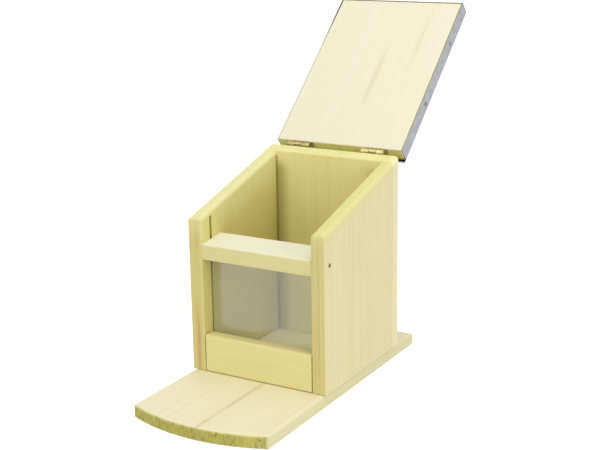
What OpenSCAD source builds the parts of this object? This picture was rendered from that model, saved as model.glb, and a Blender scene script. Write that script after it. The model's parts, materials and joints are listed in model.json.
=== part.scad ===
// Squirrel feeding station: a pine hopper with a sloped, sheet-covered lid on two brass hinges.
// Millimetres. Z is up, the front faces -Y, and the origin is the middle of the base's underside.
// The lid is drawn open, leaning back on its hinges.

/* [Base board] */
// How far each long side of the base board lies inside the box's side
base_inset = 1.5; // [0:0.5:6]
// Length of the base board, measured over the crown of its curved front edge
base_len = 268; // [240:1:320]
// Thickness of the base board
base_t = 11.5; // [8:0.5:18]
// How far the curved front edge stands forward of its two corners
base_sag = 13.5; // [6:0.5:24]
// Rounding of the base board's long edges
base_ease = 2.5; // [0.5:0.1:3.5]
// Rounding of the two front corners, seen from above
base_corner_r = 4; // [1:0.5:8]
// Length of base board left free behind the box
rear_ledge = 34; // [10:1:60]

/* [Box] */
// Outer width of the box
box_w = 131; // [110:1:160]
// Depth of the box from its front edge to the rear face of the back panel
box_depth = 134; // [110:1:160]
// Height of the side panels at the front, above the base board
front_h = 135; // [115:1:160]
// Fall of the side panels' top edge towards the front, in degrees
slope = 16.1; // [6:0.1:22]
// Thickness of the side panels
panel_t = 13; // [9:0.5:16]
// Thickness of the back panel
back_t = 12; // [9:0.5:16]
// Rounding of the side panels' upright and lower edges
panel_ease = 1.2; // [0.5:0.1:3]
// Rounding of the side panels' sloped top edges
panel_top_ease = 4; // [0.5:0.1:4.4]
// Rounding of the side panels' upper front corner, seen from the side
panel_corner_r = 3.5; // [2:0.5:6]
// How far the back panel's top stands above the side panels' top edge
back_rise = 1; // [0:0.1:4]
// Rounding of the back panel's long edges
back_ease = 2.2; // [0.5:0.1:3]
// Rounding of the back panel's top corners, seen from the front
back_corner_r = 6; // [2:0.5:8]

/* [Front board] */
// Thickness of the low front board
front_board_t = 12.5; // [8:0.5:16]
// Height of the low front board
front_board_h = 33.5; // [20:0.5:60]
// Rounding of the front board's edges
front_board_ease = 1.2; // [0.4:0.1:2]
// Rounding of the front board's two long top edges
front_board_top_ease = 3.5; // [0.5:0.1:3.9]
// Open joint left at each end of the front board and below it
front_board_gap = 0.5; // [0.1:0.05:0.9]

/* [Front rail] */
// Thickness of the upper front rail
rail_t = 14; // [8:0.5:16]
// Depth of the rail from front to back
rail_depth = 30; // [20:1:45]
// Height of the rail's front top edge above the base board
rail_h = 113; // [90:0.5:120]
// Upward tilt of the rail towards the back, in degrees
rail_tilt = 7; // [0:1:12]
// Rounding of the rail's long edges
rail_ease = 1.2; // [0.4:0.1:2]
// Joint left at each end of the rail
rail_gap = 0.1; // [0.05:0.05:0.5]

/* [Window pane] */
// Thickness of the clear pane
pane_t = 2.5; // [1.5:0.1:4]
// Depth of the groove that holds the pane in each side panel
groove_depth = 2.5; // [2:0.5:6]
// Play between the pane and each wall of its groove
pane_clear = 0.3; // [0.1:0.05:0.6]
// Play between the pane's upper edge and the rail
pane_top_clear = 0.5; // [0.3:0.1:0.9]
// Distance from the front board's back to the groove
groove_set = 0.5; // [0.1:0.1:1]
// How far below the sloped top edge the groove stops
groove_stop = 4; // [2:0.5:12]

/* [Lid] */
// Length of the lid board
lid_len = 174; // [150:1:200]
// How far each long side of the lid board lies inside the box's side
lid_inset = 2.9; // [1:0.1:8]
// Thickness of the lid board
lid_t = 14; // [9:0.5:18]
// Opening angle of the lid as drawn: 0 is level and to the front, 90 upright
lid_open = 138; // [100:1:140]
// Play between the back panel's top and the lid when it lies along the slope
lid_rest_gap = 0.7; // [0.3:0.1:1.2]

/* [Sheet cover] */
// Thickness of the folded sheet
sheet_t = 0.7; // [0.4:0.1:1.2]
// Inner radius of the folds, and rounding of the lid board's edges under them
fold_r = 1; // [0.5:0.1:2]
// Play between the sheet and the lid board's upper face
sheet_clear = 0.1; // [0.05:0.05:0.4]
// Play between the folded flanges and the lid board's edges
flange_clear = 0.4; // [0.05:0.05:0.8]
// How far the folded flanges stop short of the lid's underside
flange_short = 0.3; // [0.1:0.1:2]
// How far the sheet runs past the lid board at the hinge end
drip_len = 2.6; // [1.5:0.1:4]
// Height of the lip turned down at the hinge end
drip_lip = 2.2; // [1.2:0.1:3]
// Open seam between the front flange and each side flange
seam_w = 0.4; // [0.2:0.1:1]

/* [Hinges] */
// Width of each hinge
hinge_w = 22; // [18:1:30]
// Distance between the middles of the two hinges
hinge_span = 75; // [50:1:85]
// Diameter of the rolled knuckles
barrel_d = 3.4; // [2.8:0.1:5.4]
// Diameter of the hinge pin
pin_d = 1.6; // [1.2:0.1:3]
// Running play between pin and knuckle, on the radius
pin_clear = 0.05; // [0.02:0.01:0.08]
// Thickness of the leaves
leaf_t = 0.8; // [0.6:0.1:1.4]
// Length of each leaf from the hinge line
leaf_len = 9.5; // [8.5:0.5:12]
// Height over which each leaf steps out from the wood to its knuckles
leaf_neck = 3.5; // [2.6:0.1:3.6]
// Rounding of the leaves' outer corners
leaf_corner_r = 1.5; // [0.5:0.1:2.5]
// Play between neighbouring knuckles
knuckle_gap = 0.3; // [0.2:0.05:0.5]
// Distance from the hinge line to the wood on both sides
axis_set = 4.6; // [3:0.1:5]
// Height of the hinge line above the back panel's rear top edge
axis_up = 0.3; // [0.2:0.1:2]
// Width of the seam where a knuckle's rolled end meets its leaf
roll_seam = 0.25; // [0.1:0.05:0.5]

/* [Fasteners] */
// Diameter of the hinge screws
leaf_screw_d = 2.2; // [1.6:0.1:2.6]
// Length of the hinge screws below their heads
leaf_screw_len = 10; // [7:0.5:10.5]
// Distance of the hinge screws from the hinge line
leaf_screw_z = 5.9; // [5.7:0.1:6.4]
// Distance between the two screws of one leaf
leaf_screw_span = 13; // [9:0.5:14]
// Diameter of the nails
nail_d = 1.8; // [1.2:0.1:2.4]
// Diameter of the nail heads
nail_head_d = 4; // [3:0.1:5]
// Height of the nail heads
nail_head_h = 0.8; // [0.5:0.1:1.2]
// Depth to which the nail heads are sunk into the wood
nail_sink = 1.4; // [0:0.1:2]
// Length of the nails through the panels
nail_len = 30; // [22:1:40]
// Distance of the rail's nails from the front of the box
rail_nail_y = 8; // [6:0.5:20]
// Distance of the rail's nails below its top face
rail_nail_drop = 5; // [3:0.5:7]
// Height of the lowest back panel nails above the base board
back_nail_z = 22; // [12:1:40]
// Distance between the back panel nails
back_nail_step = 58; // [30:1:62]
// Length of the sheet cover's nails
cover_nail_len = 12; // [8:1:20]
// Distance of the sheet cover's nails from the lid's underside
cover_nail_z = 8.5; // [4:0.5:9]
// Distance of the first side nail from the hinge end of the lid
cover_nail_rear = 59.5; // [25:0.5:80]
// Distance of the second side nail from the hinge end of the lid
cover_nail_fore = 131.5; // [100:0.5:145]
// Distance between the two nails of the cover's front flange
cover_nail_span = 70; // [40:1:90]
// Diameter of the base screws
base_screw_d = 3; // [2.4:0.1:4]
// Diameter of the base screws' countersunk heads
base_screw_head_d = 6; // [5:0.1:8]
// Length of the base screws
base_screw_len = 30; // [24:1:40]
// Depth to which the base screws' heads are sunk
base_screw_sink = 0.4; // [0.1:0.1:1]
// Distance of the side panels' base screws from the ends of the panels
side_screw_in = 28; // [20:1:45]
// Distance between the front board's two base screws
front_screw_span = 60; // [30:1:80]
// Distance between the back panel's two base screws
back_screw_span = 76; // [40:1:90]
// Play round every fastener, on the radius
hole_clear = 0.05; // [0.02:0.01:0.1]

/* [Hidden] */
$fn = 64;
// Overshoot of cutting tools
cut = 1;
// Steps in a corner that is drawn as an arc of points
ARC_STEPS = 8;

// Widths of the base board and the lid board, which follow the box
base_w = box_w - 2 * base_inset;
lid_w = box_w - 2 * lid_inset;
// Box faces along Y, from the front
y_front = base_len / 2 - rear_ledge - box_depth;
y_rear = y_front + box_depth;
y_seat = y_rear - back_t;
// Heights
z_floor = base_t;
z_front = z_floor + front_h;
z_rear = z_front + box_depth * tan(slope);
z_back = z_rear + back_rise;
// Clear width between the side panels and the middle of their thickness
inner_w = box_w - 2 * panel_t;
panel_mid = box_w / 2 - panel_t / 2;
// Radius of the base board's curved front edge
base_r = (pow(base_w / 2, 2) + pow(base_sag, 2)) / (2 * base_sag);

// Window groove and pane
groove_y = y_front + front_board_t + groove_set;
groove_w = pane_t + 2 * pane_clear;
groove_top = slope_z(groove_y) - groove_stop;
pane_y = groove_y + pane_clear;
pane_w = inner_w + 2 * (groove_depth - pane_clear);
// Underside of the rail where the pane's front face meets it
pane_roof = z_floor + rail_h - rail_t / cos(rail_tilt) + (pane_y - y_front) * tan(rail_tilt);
pane_h = pane_roof - pane_top_clear - z_floor;

// Hinge line
axis_y = y_rear + axis_set;
axis_z = z_back + axis_up;
// Height of the lid's underside above the hinge line, in the lid's own frame
lid_drop = lid_rest_gap + axis_set * sin(slope) - axis_up * cos(slope);
lid_end = -axis_set;
lid_tip = lid_end - lid_len;
knuckle_w = (hinge_w - 2 * knuckle_gap) / 3;
leaf_head_d = 2 * leaf_screw_d;
leaf_head_h = 0.65 * leaf_screw_d;

// How far the driven nails' heads stand out of the wood, and how deep their points reach
nail_stand = nail_head_h - nail_sink;
nail_reach = nail_len - nail_stand + hole_clear;

// Sheet cover, in the lid's own frame
cover_w = lid_w + 2 * (flange_clear + sheet_t);
cover_top = lid_drop + lid_t + sheet_clear + sheet_t;
cover_tip = lid_tip - flange_clear - sheet_t;

PINE = "#e6dfb4";
PALE_PINE = "#f0ead0";
HONEY_PINE = "#ddd18c";
ZINC = "#b4b6bc";
BRASS = "#c9a35a";
STEEL = "#8d8d88";
CLEAR = "#cfd8da";

// Height of the side panels' top edge at a place along Y
function slope_z(y) = z_front + (y - y_front) * tan(slope);

// Points of an arc round a centre, from one angle to another
function arc(c, r, from, to) = [
    for (i = [0:ARC_STEPS])
        let (a = from + (to - from) * i / ARC_STEPS)
            c + r * [cos(a), sin(a)]
];

// Rectangle with rounded corners, centred
module rounded_rect(w, h, r) {
    square([w - 2 * r, h], center = true);
    square([w, h - 2 * r], center = true);
    for (x = [-1, 1], y = [-1, 1])
        translate([x * (w / 2 - r), y * (h / 2 - r)])
            circle(r);
}

// Rectangle from y = 0 upwards with its two lower corners rounded
module footed_rect(w, h, r) {
    translate([-w / 2, r])
        square([w, h - r]);
    translate([-w / 2 + r, 0])
        square([w - 2 * r, h]);
    for (x = [-1, 1])
        translate([x * (w / 2 - r), r])
            circle(r);
}

// Board with all of its edges rounded, centred in X and starting at Y = 0, Z = 0
module eased_board(w, d, h, r) {
    translate([0, d / 2, h / 2])
        intersection() {
            linear_extrude(h, center = true)
                rounded_rect(w, d, r);
            rotate([90, 0, 0])
                linear_extrude(d, center = true)
                    rounded_rect(w, h, r);
            rotate([90, 0, 90])
                linear_extrude(w, center = true)
                    rounded_rect(d, h, r);
        }
}

// Hole for a fastener, along +Z from Z = 0
module bore(d, len) {
    translate([0, 0, -cut])
        cylinder(d = d + 2 * hole_clear, h = len + cut);
}

// Flat-headed nail driven along +Z, with the top of its head at Z = -stand
module nail(len, stand) {
    translate([0, 0, -stand])
        cylinder(d = nail_head_d, h = nail_head_h);
    translate([0, 0, -stand + nail_head_h / 2])
        cylinder(d = nail_d, h = len - nail_d - nail_head_h / 2);
    translate([0, 0, -stand + len - nail_d])
        cylinder(d1 = nail_d, d2 = nail_d / 4, h = nail_d);
}

// Room for a sunk nail
module nail_room(len) {
    bore(nail_d, len);
    translate([0, 0, -cut])
        cylinder(d = nail_head_d + 2 * hole_clear, h = cut + nail_sink + hole_clear);
}

// Places of the nails that hold the rail, driven from each side
module at_rail_nails() {
    z = z_floor + rail_h + rail_nail_y * tan(rail_tilt) - rail_nail_drop / cos(rail_tilt);
    for (s = [-1, 1])
        translate([s * box_w / 2, y_front + rail_nail_y, z])
            rotate([0, -s * 90, 0])
                children();
}

// Places of the nails that hold the back panel, driven from behind
module at_back_nails() {
    for (s = [-1, 1], i = [0:2])
        translate([s * panel_mid, y_rear, z_floor + back_nail_z + i * back_nail_step])
            rotate([90, 0, 0])
                children();
}

// Places of the screws driven up through the base board
module at_base_screws() {
    for (s = [-1, 1]) {
        for (y = [y_front + side_screw_in, y_seat - side_screw_in])
            translate([s * panel_mid, y, 0])
                children();
        translate([s * front_screw_span / 2, y_front + front_board_t / 2, 0])
            children();
        translate([s * back_screw_span / 2, y_rear - back_t / 2, 0])
            children();
    }
}

// Frame of one hinge, on the hinge line: side -1 is the left hinge, 1 the right one
module at_hinge(side) {
    translate([side * hinge_span / 2, axis_y, axis_z])
        children();
}

// Frame of the lid: origin on the hinge line, the lid runs along -Y with its underside down
module on_lid() {
    translate([0, axis_y, axis_z])
        rotate([-lid_open, 0, 0])
            children();
}

// Places of a leaf's two screws, for a leaf that stands up from the hinge line
module at_leaf_screws() {
    for (s = [-1, 1])
        translate([s * leaf_screw_span / 2, -axis_set + leaf_t, leaf_screw_z])
            rotate([90, 0, 0])
                children();
}

// Places of the sheet cover's nails, in the lid's frame
module at_cover_nails() {
    for (s = [-1, 1]) {
        for (y = [cover_nail_rear, cover_nail_fore])
            translate([s * cover_w / 2, lid_end - y, lid_drop + cover_nail_z])
                rotate([0, -s * 90, 0])
                    children();
        translate([s * cover_nail_span / 2, cover_tip, lid_drop + cover_nail_z])
            rotate([-90, 0, 0])
                children();
    }
}

// Countersunk screw driven up from the base board's underside
module base_screw() {
    head_h = (base_screw_head_d - base_screw_d) / 2;
    translate([0, 0, base_screw_sink])
        cylinder(d1 = base_screw_head_d, d2 = base_screw_d, h = head_h);
    translate([0, 0, base_screw_sink + head_h])
        cylinder(d = base_screw_d, h = base_screw_len - head_h - base_screw_d);
    translate([0, 0, base_screw_sink + base_screw_len - base_screw_d])
        cylinder(d1 = base_screw_d, d2 = base_screw_d / 4, h = base_screw_d);
}

// Room for a base screw
module base_screw_room() {
    head_d = base_screw_head_d + 2 * hole_clear;
    shank_d = base_screw_d + 2 * hole_clear;
    cylinder(d = shank_d, h = base_screw_sink + base_screw_len + hole_clear);
    translate([0, 0, base_screw_sink])
        cylinder(d1 = head_d, d2 = shank_d, h = (head_d - shank_d) / 2);
    translate([0, 0, -cut])
        cylinder(d = head_d, h = cut + base_screw_sink);
}

// Outline of the base board from above: straight sides, curved front, rounded front corners
module base_outline() {
    crown_y = -base_len / 2;
    round_x = base_w / 2 - base_corner_r;
    round_y = crown_y + base_r - sqrt(pow(base_r - base_corner_r, 2) - pow(round_x, 2));
    intersection() {
        translate([0, crown_y + base_r])
            circle(base_r, $fn = 256);
        translate([-round_x, crown_y])
            square([2 * round_x, base_len]);
    }
    translate([-base_w / 2, round_y])
        square([base_w, base_len / 2 - round_y]);
    for (s = [-1, 1])
        translate([s * round_x, round_y])
            circle(base_corner_r);
}

// Disc with a rounded rim that gives the curved front edge its easing
module base_rim() {
    translate([0, base_r - base_len / 2, 0])
        rotate_extrude($fn = 256) {
            square([base_r - base_ease, base_t]);
            translate([0, base_ease])
                square([base_r, base_t - 2 * base_ease]);
            for (z = [base_ease, base_t - base_ease])
                translate([base_r - base_ease, z])
                    circle(base_ease);
        }
}

module base_board() {
    color(PINE)
        difference() {
            intersection() {
                linear_extrude(base_t)
                    base_outline();
                base_rim();
                translate([0, 0, base_t / 2])
                    rotate([90, 0, 0])
                        linear_extrude(base_len + 2 * cut, center = true)
                            rounded_rect(base_w, base_t, base_ease);
                translate([0, -cut / 2, base_t / 2])
                    rotate([90, 0, 90])
                        linear_extrude(base_w + 2 * cut, center = true)
                            rounded_rect(base_len + cut, base_t, base_ease);
            }
            at_base_screws()
                base_screw_room();
        }
}

// Side view of a side panel, with Y to the right and Z up
module side_profile() {
    r = panel_corner_r;
    foot_r = panel_ease;
    top_y = y_front + r;
    top_z = slope_z(top_y) - r / cos(slope);
    polygon(concat(
        arc([y_front + foot_r, z_floor + foot_r], foot_r, 270, 180),
        arc([top_y, top_z], r, 180, 90 + slope),
        [[y_seat, slope_z(y_seat)], [y_seat, z_floor]]
    ));
}

// Side panel at the right: sloped top, eased edges, and on its inner face the pane's groove,
// which is open at the foot so that the pane goes in before the base board
module side_panel() {
    reach = front_h + box_depth;
    difference() {
        intersection() {
            translate([inner_w / 2, 0, 0])
                rotate([90, 0, 90])
                    linear_extrude(panel_t)
                        side_profile();
            translate([panel_mid, y_front, z_floor])
                linear_extrude(reach)
                    footed_rect(panel_t, box_depth, panel_ease);
            translate([panel_mid, y_rear, z_floor])
                rotate([90, 0, 0])
                    linear_extrude(box_depth + cut)
                        footed_rect(panel_t, reach, panel_ease);
            translate([panel_mid, y_rear, z_rear])
                rotate([90 + slope, 0, 0])
                    linear_extrude(2 * reach, center = true)
                        mirror([0, 1])
                            footed_rect(panel_t, reach, panel_top_ease);
        }
        translate([inner_w / 2 - cut, groove_y, z_floor - cut])
            cube([cut + groove_depth, groove_w, groove_top - z_floor + cut]);
        at_rail_nails()
            nail_room(nail_reach);
        at_back_nails()
            bore(nail_d, nail_reach);
        at_base_screws()
            base_screw_room();
    }
}

module right_side_panel() {
    color(PINE)
        side_panel();
}

module left_side_panel() {
    color(PINE)
        mirror([1, 0, 0])
            side_panel();
}

// Side view of the back panel, with Y to the right and Z up
module back_profile() {
    r = back_ease;
    front_z = slope_z(y_seat + r) + back_rise - r / cos(slope);
    rear_z = slope_z(y_rear - r) + back_rise - r / cos(slope);
    polygon(concat(
        [[y_seat, z_floor]],
        arc([y_seat + r, front_z], r, 180, 90 + slope),
        arc([y_rear - r, rear_z], r, 90 + slope, 0),
        [[y_rear, z_floor]]
    ));
}

module back_panel() {
    reach = front_h + box_depth;
    color(PINE)
        difference() {
            intersection() {
                rotate([90, 0, 90])
                    linear_extrude(box_w, center = true)
                        back_profile();
                translate([0, (y_seat + y_rear) / 2, z_floor])
                    linear_extrude(reach)
                        rounded_rect(box_w, back_t, back_ease);
                translate([0, y_rear, z_back])
                    rotate([90 + slope, 0, 0])
                        linear_extrude(2 * reach, center = true)
                            mirror([0, 1])
                                footed_rect(box_w, reach, back_corner_r);
            }
            at_back_nails()
                nail_room(nail_reach);
            for (side = [-1, 1])
                at_hinge(side)
                    mirror([0, 0, 1])
                        at_leaf_screws()
                            bore(leaf_screw_d, leaf_screw_len + hole_clear);
            at_base_screws()
                base_screw_room();
        }
}

module front_board() {
    color(HONEY_PINE)
        difference() {
            intersection() {
                translate([0, y_front, z_floor + front_board_gap])
                    eased_board(inner_w - 2 * front_board_gap, front_board_t,
                        front_board_h - front_board_gap, front_board_ease);
                translate([0, y_front + front_board_t / 2, z_floor + front_board_h])
                    rotate([90, 0, 90])
                        linear_extrude(inner_w, center = true)
                            mirror([0, 1])
                                footed_rect(front_board_t, front_board_h, front_board_top_ease);
            }
            at_base_screws()
                base_screw_room();
        }
}

module front_rail() {
    color(PALE_PINE)
        difference() {
            translate([0, y_front, z_floor + rail_h])
                rotate([rail_tilt, 0, 0])
                    rotate([90, 0, 90])
                        linear_extrude(inner_w - 2 * rail_gap, center = true)
                            translate([rail_depth / 2, -rail_t / 2])
                                rounded_rect(rail_depth, rail_t, rail_ease);
            at_rail_nails()
                bore(nail_d, nail_reach);
        }
}

module window_pane() {
    color(CLEAR, 0.4)
        translate([-pane_w / 2, pane_y, z_floor])
            cube([pane_w, pane_t, pane_h]);
}

module lid_board() {
    color(PALE_PINE)
        on_lid()
            difference() {
                translate([0, lid_tip, lid_drop])
                    eased_board(lid_w, lid_len, lid_t, fold_r);
                for (side = [-1, 1])
                    translate([side * hinge_span / 2, 0, 0])
                        at_leaf_screws()
                            bore(leaf_screw_d, leaf_screw_len + hole_clear);
                at_cover_nails()
                    bore(nail_d, cover_nail_len);
            }
}

// Block with a rounded left, right and front top edge: the folded sheet's outer or inner form
module folded_block(w, tip, end, top, bottom, r) {
    len = end - tip;
    h = top - bottom;
    intersection() {
        translate([0, end, top])
            rotate([90, 0, 0])
                linear_extrude(len)
                    mirror([0, 1])
                        footed_rect(w, h, r);
        translate([0, tip, top])
            rotate([90, 0, 90])
                linear_extrude(w + 2 * cut, center = true)
                    translate([0, -h])
                        fold_profile(len, h, r);
    }
}

// Side view of a block whose front top edge, at the left, is rounded
module fold_profile(len, h, r) {
    square([len, h - r]);
    translate([r, 0])
        square([len - r, h]);
    translate([r, h - r])
        circle(r);
}

module lid_cover() {
    flange_foot = lid_drop + flange_short;
    inner_top = cover_top - sheet_t;
    drip_end = lid_end + drip_len;
    color(ZINC)
        on_lid()
            difference() {
                folded_block(cover_w, cover_tip, drip_end, cover_top, flange_foot, fold_r + sheet_t);
                folded_block(cover_w - 2 * sheet_t, cover_tip + sheet_t, drip_end - sheet_t,
                    inner_top, flange_foot - cut, fold_r);
                // The side flanges end with the board, and the lip past it is low
                translate([-cover_w, lid_end, flange_foot - cut])
                    cube([2 * cover_w, drip_len + cut, cover_top - drip_lip - flange_foot + cut]);
                for (s = [-1, 1])
                    translate([s * cover_w / 2, cover_tip + sheet_t + seam_w / 2,
                            flange_foot - cut])
                        translate([-sheet_t - cut / 2, -seam_w / 2, 0])
                            cube([2 * sheet_t + cut, seam_w, inner_top - fold_r - flange_foot + cut]);
                at_cover_nails()
                    bore(nail_d, cover_nail_len);
            }
}

module lid_cover_nails() {
    color(STEEL)
        on_lid()
            at_cover_nails()
                nail(cover_nail_len, nail_head_h + hole_clear);
}

// Outline of a leaf, standing up from the hinge line
module leaf_outline() {
    translate([-hinge_w / 2, leaf_neck])
        square([hinge_w, leaf_len - leaf_neck - leaf_corner_r]);
    translate([-hinge_w / 2 + leaf_corner_r, leaf_neck])
        square([hinge_w - 2 * leaf_corner_r, leaf_len - leaf_neck]);
    for (s = [-1, 1])
        translate([s * (hinge_w / 2 - leaf_corner_r), leaf_len - leaf_corner_r])
            circle(leaf_corner_r);
}

// Side view of the neck between a leaf and its roll, with the hinge line at the origin
module neck_profile() {
    polygon([
        [-axis_set, leaf_neck],
        [-axis_set + leaf_t, leaf_neck],
        [-barrel_d / 2 + leaf_t, 0],
        [-barrel_d / 2, 0]
    ]);
}

// Leaf with rolled knuckles at the given places, counted -1, 0, 1 along the hinge line
module leaf(places) {
    pitch = knuckle_w + knuckle_gap;
    clear_r = barrel_d / 2 + knuckle_gap;
    bore_d = pin_d + 2 * pin_clear;
    difference() {
        union() {
            translate([0, -axis_set + leaf_t, 0])
                rotate([90, 0, 0])
                    linear_extrude(leaf_t)
                        leaf_outline();
            for (i = places)
                translate([i * pitch, 0, 0]) {
                    rotate([0, 90, 0])
                        cylinder(d = barrel_d, h = knuckle_w, center = true);
                    rotate([90, 0, 90])
                        linear_extrude(knuckle_w, center = true)
                            neck_profile();
                }
        }
        // Room for the other leaf's knuckles
        for (i = [-1, 0, 1])
            if (len(search(i, places)) == 0)
                translate([i * pitch, 0, 0])
                    rotate([0, 90, 0])
                        cylinder(r = clear_r, h = knuckle_w + 2 * knuckle_gap, center = true);
        rotate([0, 90, 0])
            cylinder(d = bore_d, h = hinge_w + 2 * cut, center = true);
        // Seam where the rolled end comes back to the leaf
        translate([-hinge_w / 2 - cut, -barrel_d / 2 + leaf_t, clear_r / 2])
            cube([hinge_w + 2 * cut, roll_seam, clear_r]);
        at_leaf_screws()
            bore(leaf_screw_d, leaf_t + cut);
    }
}

// Round-headed hinge screw driven along +Z, seated on the leaf at Z = 0
module leaf_screw() {
    dome_r = (pow(leaf_head_d / 2, 2) + pow(leaf_head_h, 2)) / (2 * leaf_head_h);
    intersection() {
        translate([0, 0, dome_r - leaf_head_h - hole_clear])
            sphere(dome_r);
        translate([0, 0, -leaf_head_h - hole_clear])
            cylinder(d = leaf_head_d, h = leaf_head_h);
    }
    translate([0, 0, -leaf_head_h / 2])
        cylinder(d = leaf_screw_d, h = leaf_screw_len - leaf_screw_d + leaf_head_h / 2);
    translate([0, 0, leaf_screw_len - leaf_screw_d])
        cylinder(d1 = leaf_screw_d, d2 = leaf_screw_d / 4, h = leaf_screw_d);
}

module hinge_fixed_leaf(side) {
    color(BRASS)
        at_hinge(side)
            mirror([0, 0, 1])
                leaf([-1, 1]);
}

module hinge_lid_leaf(side) {
    color(BRASS)
        on_lid()
            translate([side * hinge_span / 2, 0, 0])
                leaf([0]);
}

module hinge_pin(side) {
    color(BRASS)
        at_hinge(side)
            rotate([0, 90, 0])
                cylinder(d = pin_d, h = hinge_w, center = true);
}

module hinge_fixed_screws(side) {
    color(BRASS)
        at_hinge(side)
            mirror([0, 0, 1])
                at_leaf_screws()
                    leaf_screw();
}

module hinge_lid_screws(side) {
    color(BRASS)
        on_lid()
            translate([side * hinge_span / 2, 0, 0])
                at_leaf_screws()
                    leaf_screw();
}

module left_hinge_fixed_leaf() {
    hinge_fixed_leaf(-1);
}

module left_hinge_lid_leaf() {
    hinge_lid_leaf(-1);
}

module left_hinge_pin() {
    hinge_pin(-1);
}

module left_hinge_fixed_screws() {
    hinge_fixed_screws(-1);
}

module left_hinge_lid_screws() {
    hinge_lid_screws(-1);
}

module right_hinge_fixed_leaf() {
    hinge_fixed_leaf(1);
}

module right_hinge_lid_leaf() {
    hinge_lid_leaf(1);
}

module right_hinge_pin() {
    hinge_pin(1);
}

module right_hinge_fixed_screws() {
    hinge_fixed_screws(1);
}

module right_hinge_lid_screws() {
    hinge_lid_screws(1);
}

module rail_nails() {
    color(STEEL)
        at_rail_nails()
            nail(nail_len, nail_stand);
}

module back_panel_nails() {
    color(STEEL)
        at_back_nails()
            nail(nail_len, nail_stand);
}

module base_screws() {
    color(STEEL)
        at_base_screws()
            base_screw();
}

base_board();
left_side_panel();
right_side_panel();
back_panel();
front_board();
front_rail();
window_pane();
lid_board();
lid_cover();
lid_cover_nails();
left_hinge_fixed_leaf();
left_hinge_lid_leaf();
left_hinge_pin();
left_hinge_fixed_screws();
left_hinge_lid_screws();
right_hinge_fixed_leaf();
right_hinge_lid_leaf();
right_hinge_pin();
right_hinge_fixed_screws();
right_hinge_lid_screws();
rail_nails();
back_panel_nails();
base_screws();
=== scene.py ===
"""Looks of a squirrel feeding station: glazed pine, zinc sheet, brass, clear pane, light and camera."""
import json
import logging
import math
from dataclasses import asdict, dataclass
from enum import Enum
from functools import reduce
from typing import Iterable

import bmesh
import bpy
from mathutils import Matrix, Vector


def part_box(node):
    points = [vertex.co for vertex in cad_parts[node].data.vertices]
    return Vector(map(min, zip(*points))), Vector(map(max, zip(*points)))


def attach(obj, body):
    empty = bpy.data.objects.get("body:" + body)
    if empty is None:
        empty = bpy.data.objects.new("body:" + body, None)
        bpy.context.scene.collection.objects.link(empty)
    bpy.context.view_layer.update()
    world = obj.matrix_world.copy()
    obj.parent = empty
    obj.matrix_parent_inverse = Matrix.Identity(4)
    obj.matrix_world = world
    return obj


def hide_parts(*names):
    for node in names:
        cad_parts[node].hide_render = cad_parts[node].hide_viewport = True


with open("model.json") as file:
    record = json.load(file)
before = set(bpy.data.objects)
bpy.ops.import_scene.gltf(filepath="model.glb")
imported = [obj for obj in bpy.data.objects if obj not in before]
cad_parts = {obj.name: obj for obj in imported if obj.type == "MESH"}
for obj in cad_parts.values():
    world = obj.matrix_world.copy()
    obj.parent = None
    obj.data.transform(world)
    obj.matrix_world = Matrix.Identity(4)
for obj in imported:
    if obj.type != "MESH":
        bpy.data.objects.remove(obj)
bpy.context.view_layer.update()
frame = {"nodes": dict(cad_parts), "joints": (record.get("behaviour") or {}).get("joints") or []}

LOG = logging.getLogger("feeding_station")
MM = 0.001
SIDES = (-1, 1)
ORIGIN = (0.0, 0.0, 0.0)
WHITE = (1.0, 1.0, 1.0, 1.0)

# Lean of the open lid and slope of the roof in degrees, and the hinge line's distance from the boards
# in millimetres.
LID_OPEN = 138.0
ROOF_SLOPE = 16.1
ROOF_CLIMB = math.tan(math.radians(ROOF_SLOPE))
HINGE_SET = 4.6

# Fineness of shapes: steps of a full turn, the angle of a sharp edge in degrees, gaps in millimetres.
TURN_STEPS = 32
WIDE_STEPS = 40
SHARP_ANGLE = 35.0
MERGE_GAP = 1e-4
CUT_GAP = 1e-5

# What a pine finish hands to the pine group as it is.
PINE_VALUES = ("ring", "wander", "contrast", "glaze_share", "blush")
PINE_COLOURS = ("early", "late", "glaze", "end", "end_dark", "edge_tint", "inner_shade_tint")

# Where a board has no glue joint, how far the figure moves from strip to strip, and its faint pink.
NO_JOINT = 1.0e4
STRIP_SHIFT = (7.0, 3.0, 173.0)
PINK = (1.0, 0.955, 0.985, 1.0)

Socket = bpy.types.NodeSocket
Feed = Socket | float | tuple[float, ...]
Feeds = dict[str | int, Feed]
Triple = tuple[float, float, float]
Colour = tuple[float, float, float, float]
Pieces = list[bpy.types.Object]


def srgb(red: int, green: int, blue: int) -> Colour:
    """Turn a colour as it is seen into the linear values that shaders take.

    Args:
        red: Red, 0 to 255.
        green: Green, 0 to 255.
        blue: Blue, 0 to 255.

    Returns:
        Linear red, green, blue and an alpha of 1.
    """

    def linear(value: int) -> float:
        """Undo the display curve of one channel."""
        share = value / 255
        return share / 12.92 if share <= 0.04045 else ((share + 0.055) / 1.055) ** 2.4

    return linear(red), linear(green), linear(blue), 1.0


class BoardFrame(Enum):
    """Turn from the model's frame to a board's own, in degrees.

    A board's own X runs across the grain, Y through the board and Z along the grain.
    """

    UPRIGHT = (0.0, 0.0, 0.0)
    SIDE = (0.0, 0.0, -90.0)
    BASE = (90.0, 0.0, 0.0)
    FRONT = (0.0, -90.0, 0.0)
    RAIL = (-90.0, -90.0, 0.0)
    LID = (LID_OPEN - 90.0, 0.0, 0.0)

    def turn(self) -> tuple[float, ...]:
        """Angles in radians."""
        return tuple(math.radians(angle) for angle in self.value)


class Inner(Enum):
    """Which face of a board looks into the hopper, along the board's own Y."""

    NONE = 0.0
    PLUS = 1.0
    MINUS = -1.0


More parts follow.
